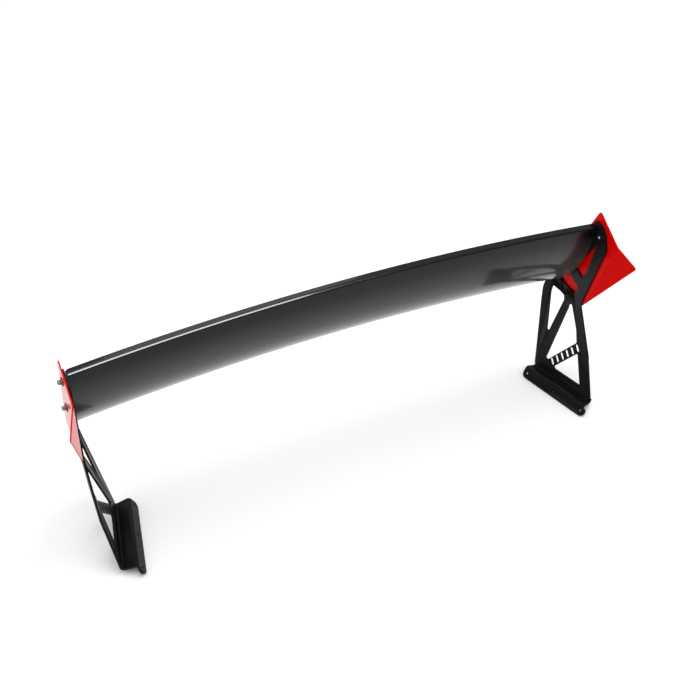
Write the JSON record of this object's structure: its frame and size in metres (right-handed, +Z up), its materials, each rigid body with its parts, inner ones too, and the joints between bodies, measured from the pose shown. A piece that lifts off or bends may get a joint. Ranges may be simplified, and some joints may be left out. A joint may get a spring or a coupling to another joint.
{
  "type": "racing_rear_wing",
  "caption": "Hatchback racing rear wing: a bowed composite blade between folded steel uprights with slotted bars, bolt-down foot flanges and flared red end plates",
  "frame": {"origin": "on the floor, at the middle of the wing's footprint", "axes": "+X along the span to the right seen from behind, +Y forward towards the car's nose, +Z up"},
  "size_m": [1.3456, 0.2965, 0.5252],
  "materials": {
    "black_coat": "satin",
    "red_gloss": "gloss",
    "black_laminate": "gloss",
    "bare_laminate": "matte",
    "filler_paste": "matte",
    "insert_brass": "polished",
    "stainless": "brushed"
  },
  "bodies": {
    "supports": {"left_upright": "black_coat", "right_upright": "black_coat", "left_end_plate": "red_gloss", "right_end_plate": "red_gloss"},
    "blade": {"lower_skin": "black_laminate", "upper_skin": "black_laminate", "nose_filler": "filler_paste", "tail_filler": "filler_paste", "main_spar": "bare_laminate", "rear_spar": "bare_laminate", "front_ribs": "bare_laminate", "middle_ribs": "bare_laminate", "rear_ribs": "bare_laminate", "left_end_rib": "filler_paste", "right_end_rib": "filler_paste", "left_inserts": "insert_brass", "right_inserts": "insert_brass", "left_spacers": "stainless", "right_spacers": "stainless", "left_bolts": "stainless", "right_bolts": "stainless", "left_wide_washers": "stainless", "right_wide_washers": "stainless", "left_spring_washers": "stainless", "right_spring_washers": "stainless"}
  },
  "joints": [
    {"name": "blade_incidence", "type": "hinge", "parent": "supports", "child": "blade", "pos_m": [0, 0.03472, 0.36923], "axis": [1, 0, 0], "range_deg": [-2.4, 2.4]}
  ]
}
